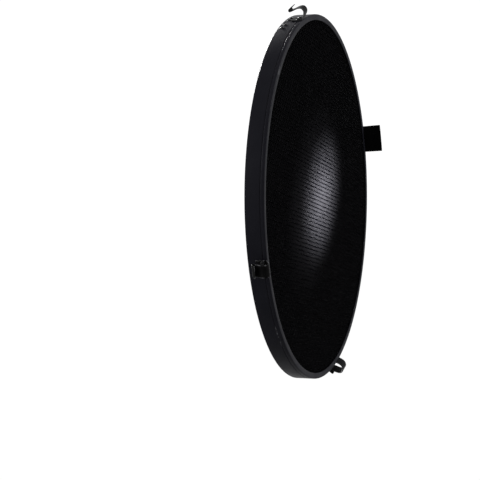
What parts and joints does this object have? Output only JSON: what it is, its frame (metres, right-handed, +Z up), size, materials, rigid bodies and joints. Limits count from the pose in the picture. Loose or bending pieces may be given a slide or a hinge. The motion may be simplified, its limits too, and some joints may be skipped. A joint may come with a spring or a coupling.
{
  "type": "honeycomb grid",
  "caption": "Round honeycomb grid that clips into the mouth of a beauty-dish reflector to narrow a studio flash's beam.",
  "frame": {"origin": "centre of the hoop on its axis, in the plane of its rear face, which meets the reflector", "axes": "+Y along the grid's axis towards the lamp, -Y the way the light leaves, +Z up as it hangs in the picture, +X to the right seen from the front"},
  "size_m": [0.4208, 0.0411, 0.4195],
  "materials": {
    "hoop": "black anodised, satin",
    "core": "black coated foil, slight sheen",
    "spring_clip": "black coated spring steel, semi-gloss",
    "pull_tab": "matt black",
    "rivet": "black, satin",
    "splice_plate": "bare, mill"
  },
  "bodies": {
    "grid": {"hoop_channel": "hoop", "honeycomb_core": "core", "splice_plate": "splice_plate", "pull_tab": "pull_tab", "splice_rivet_1": "rivet", "splice_rivet_2": "rivet", "splice_rivet_3": "rivet", "splice_rivet_4": "rivet", "clip_foot_right": "spring_clip", "clip_rivet_right_1": "rivet", "clip_rivet_right_2": "rivet", "clip_foot_top": "spring_clip", "clip_rivet_top_1": "rivet", "clip_rivet_top_2": "rivet", "clip_foot_left": "spring_clip", "clip_rivet_left_1": "rivet", "clip_rivet_left_2": "rivet", "clip_foot_bottom": "spring_clip", "clip_rivet_bottom_1": "rivet", "clip_rivet_bottom_2": "rivet"},
    "hook_right": {"clip_hook_right": "spring_clip"},
    "hook_top": {"clip_hook_top": "spring_clip"},
    "hook_left": {"clip_hook_left": "spring_clip"},
    "hook_bottom": {"clip_hook_bottom": "spring_clip"}
  },
  "joints": [
    {"name": "clip_right_flex", "type": "hinge", "parent": "grid", "child": "hook_right", "pos_m": [0.19351, -0.0198, 0.07351], "axis": [0.3551, 0, -0.9348], "range_deg": [0, 12], "stiffness_Nm_per_rad": 1.2},
    {"name": "clip_top_flex", "type": "hinge", "parent": "grid", "child": "hook_top", "pos_m": [-0.07204, -0.0198, 0.19267], "axis": [0.9367, 0, 0.3502], "range_deg": [0, 12], "stiffness_Nm_per_rad": 1.2},
    {"name": "clip_left_flex", "type": "hinge", "parent": "grid", "child": "hook_left", "pos_m": [-0.19329, -0.0198, -0.07035], "axis": [-0.342, 0, 0.9397], "range_deg": [0, 12], "stiffness_Nm_per_rad": 1.2},
    {"name": "clip_bottom_flex", "type": "hinge", "parent": "grid", "child": "hook_bottom", "pos_m": [0.0717, -0.0198, -0.1928], "axis": [-0.9373, 0, -0.3486], "range_deg": [0, 12], "stiffness_Nm_per_rad": 1.2}
  ]
}
